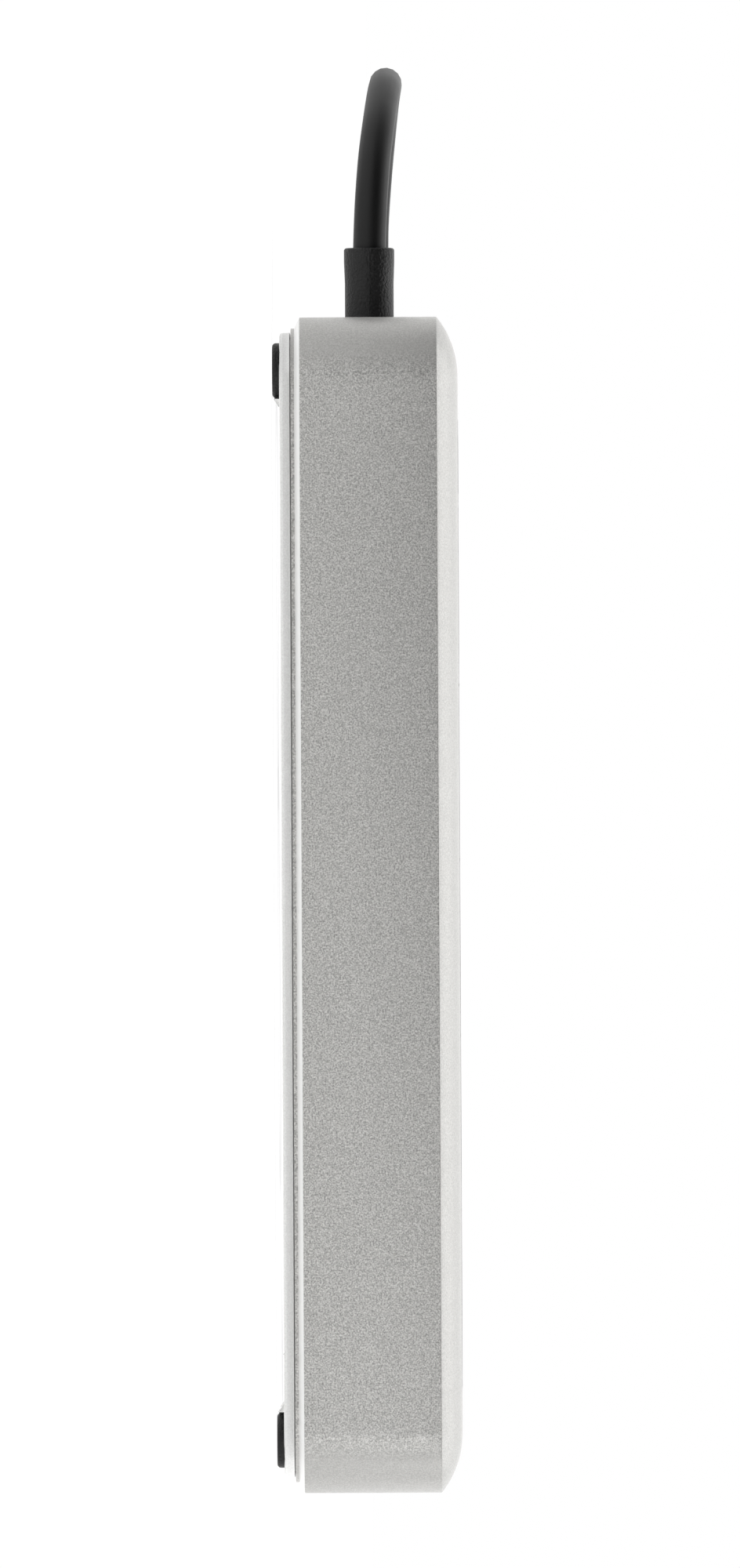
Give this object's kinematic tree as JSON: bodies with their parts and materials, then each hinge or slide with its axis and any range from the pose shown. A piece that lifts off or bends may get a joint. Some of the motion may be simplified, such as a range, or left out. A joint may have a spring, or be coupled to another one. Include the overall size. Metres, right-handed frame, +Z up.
{
  "type": "desk power strip",
  "caption": "Low desk power strip: silver shell with a rounded crown on an inset base with rubber feet, a row of earthed sockets with shutters, a rocker switch and a corded plug.",
  "frame": {"origin": "On the floor under the middle of the strip, without its lead and sleeve", "axes": "X along the strip with the cord leaving at -X, Y across it, Z up from the feet"},
  "size_m": [0.3656, 0.1753, 0.0472],
  "materials": {
    "silver": "fine metallic silver lacquer, satin",
    "base_silver": "paler silver lacquer, satin",
    "black_rubber": "matt",
    "black_plastic": "fine matt",
    "black_cable": "satin flexible sheath",
    "grey_plastic": "matt",
    "red_lens": "glossy see-through red",
    "clear_glass": "clear",
    "brass": "stamped",
    "steel": "zinc plated",
    "chrome": "nickel plated",
    "brown_wire": "insulation",
    "blue_wire": "insulation",
    "green_wire": "insulation"
  },
  "bodies": {
    "strip": {"top_housing": "silver", "base_cover": "base_silver", "foot_1": "black_rubber", "foot_2": "black_rubber", "foot_3": "black_rubber", "foot_4": "black_rubber", "base_screw_1": "steel", "base_screw_2": "steel", "base_screw_3": "steel", "base_screw_4": "steel", "socket_insert_1": "black_plastic", "socket_insert_2": "black_plastic", "socket_insert_3": "black_plastic", "socket_insert_4": "black_plastic", "socket_insert_5": "black_plastic", "shutter_spring_1": "steel", "shutter_spring_2": "steel", "shutter_spring_3": "steel", "shutter_spring_4": "steel", "shutter_spring_5": "steel", "live_bar": "brass", "neutral_bar": "brass", "earth_rail": "steel", "switch_frame": "black_plastic", "switch_terminal_in": "brass", "switch_terminal_out": "brass", "indicator_lamp": "clear_glass", "strain_relief": "black_rubber", "cord_end": "black_cable", "cord_clamp": "grey_plastic", "clamp_screw_1": "steel", "clamp_screw_2": "steel", "wire_live": "brown_wire", "wire_neutral": "blue_wire", "wire_earth": "green_wire", "wire_switched": "brown_wire", "power_cord": "black_cable", "cord_hank": "black_cable", "plug_lead": "black_cable", "cord_tie": "black_rubber", "plug_body": "black_plastic", "plug_pin_1": "chrome", "plug_pin_2": "chrome", "plug_earth_1": "chrome", "plug_earth_2": "chrome"},
    "switch_rocker": {"rocker": "red_lens", "rocker_plunger": "steel"},
    "switch_lever": {"contact_lever": "brass"},
    "turning_shutter_1": {"shutter_1": "grey_plastic"},
    "turning_shutter_2": {"shutter_2": "grey_plastic"},
    "turning_shutter_3": {"shutter_3": "grey_plastic"},
    "turning_shutter_4": {"shutter_4": "grey_plastic"},
    "turning_shutter_5": {"shutter_5": "grey_plastic"}
  },
  "joints": [
    {"name": "rocker_hinge", "type": "hinge", "parent": "strip", "child": "switch_rocker", "pos_m": [-0.1125, 0, 0.04024], "axis": [-1, 0, 0], "range_deg": [0, 18]},
    {"name": "lever_hinge", "type": "hinge", "parent": "strip", "child": "switch_lever", "pos_m": [-0.1125, 0, 0.03144], "axis": [-1, 0, 0], "range_deg": [0, 8]},
    {"name": "shutter_hinge_1", "type": "hinge", "parent": "strip", "child": "turning_shutter_1", "pos_m": [-0.07875, 0, 0.0246], "axis": [0, 0, -1], "range_deg": [0, 40], "stiffness_Nm_per_rad": 0.002, "springref_deg": -17.19},
    {"name": "shutter_hinge_2", "type": "hinge", "parent": "strip", "child": "turning_shutter_2", "pos_m": [-0.03375, 0, 0.0246], "axis": [0, 0, -1], "range_deg": [0, 40], "stiffness_Nm_per_rad": 0.002, "springref_deg": -17.19},
    {"name": "shutter_hinge_3", "type": "hinge", "parent": "strip", "child": "turning_shutter_3", "pos_m": [0.01125, 0, 0.0246], "axis": [0, 0, -1], "range_deg": [0, 40], "stiffness_Nm_per_rad": 0.002, "springref_deg": -17.19},
    {"name": "shutter_hinge_4", "type": "hinge", "parent": "strip", "child": "turning_shutter_4", "pos_m": [0.05625, 0, 0.0246], "axis": [0, 0, -1], "range_deg": [0, 40], "stiffness_Nm_per_rad": 0.002, "springref_deg": -17.19},
    {"name": "shutter_hinge_5", "type": "hinge", "parent": "strip", "child": "turning_shutter_5", "pos_m": [0.10125, 0, 0.0246], "axis": [0, 0, -1], "range_deg": [0, 40], "stiffness_Nm_per_rad": 0.002, "springref_deg": -17.19}
  ],
  "couplings": [
    {"joint": "lever_hinge", "follows": "rocker_hinge", "ratio": 0.4444}
  ]
}
